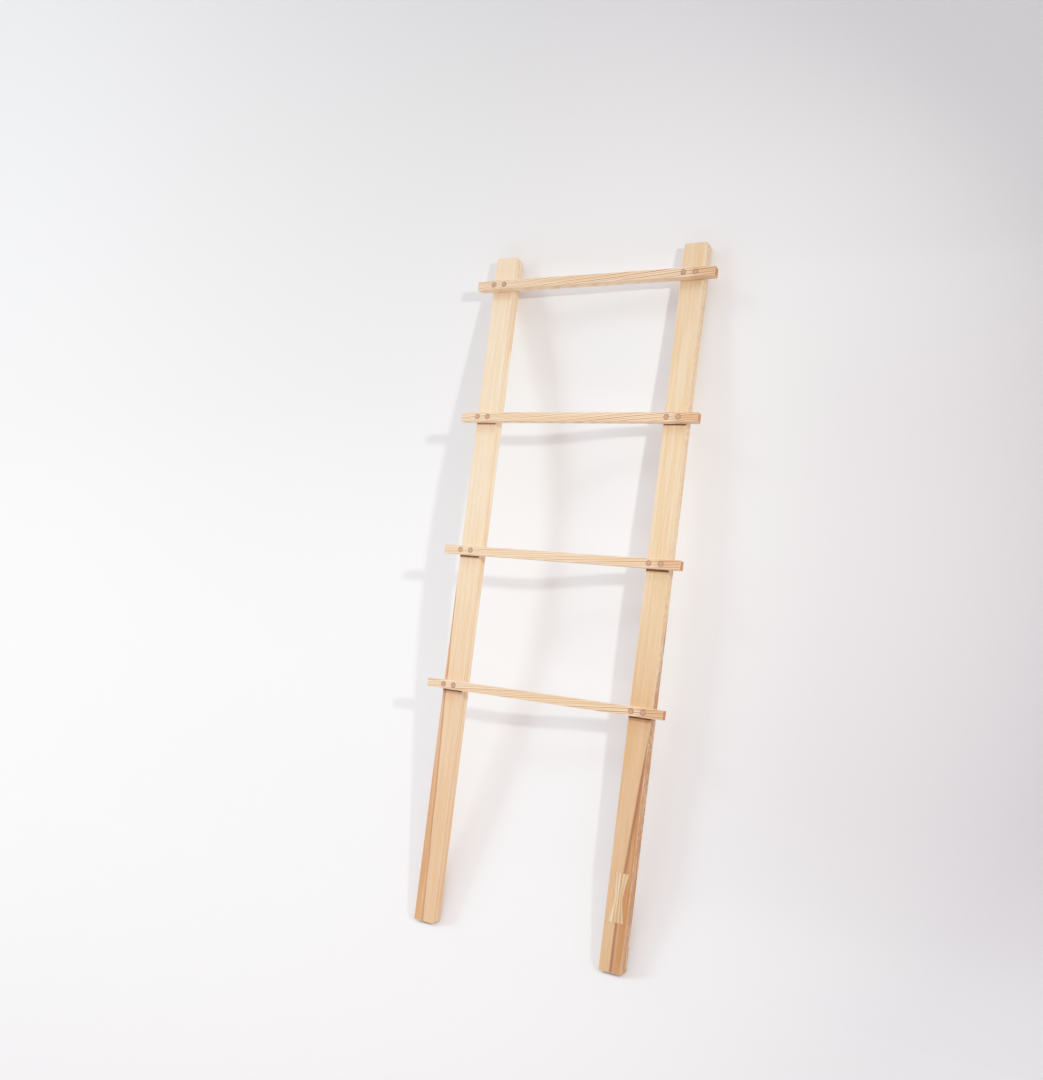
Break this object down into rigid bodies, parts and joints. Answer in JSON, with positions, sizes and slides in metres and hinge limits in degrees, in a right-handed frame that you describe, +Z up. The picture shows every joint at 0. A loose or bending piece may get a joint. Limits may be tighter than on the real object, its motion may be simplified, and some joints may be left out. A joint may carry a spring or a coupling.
{
  "type": "leaning blanket ladder",
  "caption": "Leaning wooden ladder rack for quilts, with flat rails, square rungs pegged across their fronts and a butterfly key.",
  "frame": {"origin": "middle of the footprint on the floor, under the middle of the bounding box", "axes": "+Z up, +X along the rungs to the right as seen from the front, +Y from the front towards the wall; the ladder leans back towards +Y by 15.5 degrees"},
  "size_m": [0.56, 0.4376, 1.4766],
  "materials": {
    "rail_ash": "satin oiled",
    "rung_ash": "satin oiled",
    "peg_walnut": "satin oiled end grain",
    "key_ash": "satin oiled"
  },
  "bodies": {
    "root": {"left_rail": "rail_ash", "right_rail": "rail_ash", "butterfly_key": "key_ash", "rung_1": "rung_ash", "rung_1_peg_left_outer": "peg_walnut", "rung_1_peg_left_inner": "peg_walnut", "rung_1_peg_right_outer": "peg_walnut", "rung_1_peg_right_inner": "peg_walnut", "rung_2": "rung_ash", "rung_2_peg_left_outer": "peg_walnut", "rung_2_peg_left_inner": "peg_walnut", "rung_2_peg_right_outer": "peg_walnut", "rung_2_peg_right_inner": "peg_walnut", "rung_3": "rung_ash", "rung_3_peg_left_outer": "peg_walnut", "rung_3_peg_left_inner": "peg_walnut", "rung_3_peg_right_outer": "peg_walnut", "rung_3_peg_right_inner": "peg_walnut", "rung_4": "rung_ash", "rung_4_peg_left_outer": "peg_walnut", "rung_4_peg_left_inner": "peg_walnut", "rung_4_peg_right_outer": "peg_walnut", "rung_4_peg_right_inner": "peg_walnut"}
  },
  "joints": []
}
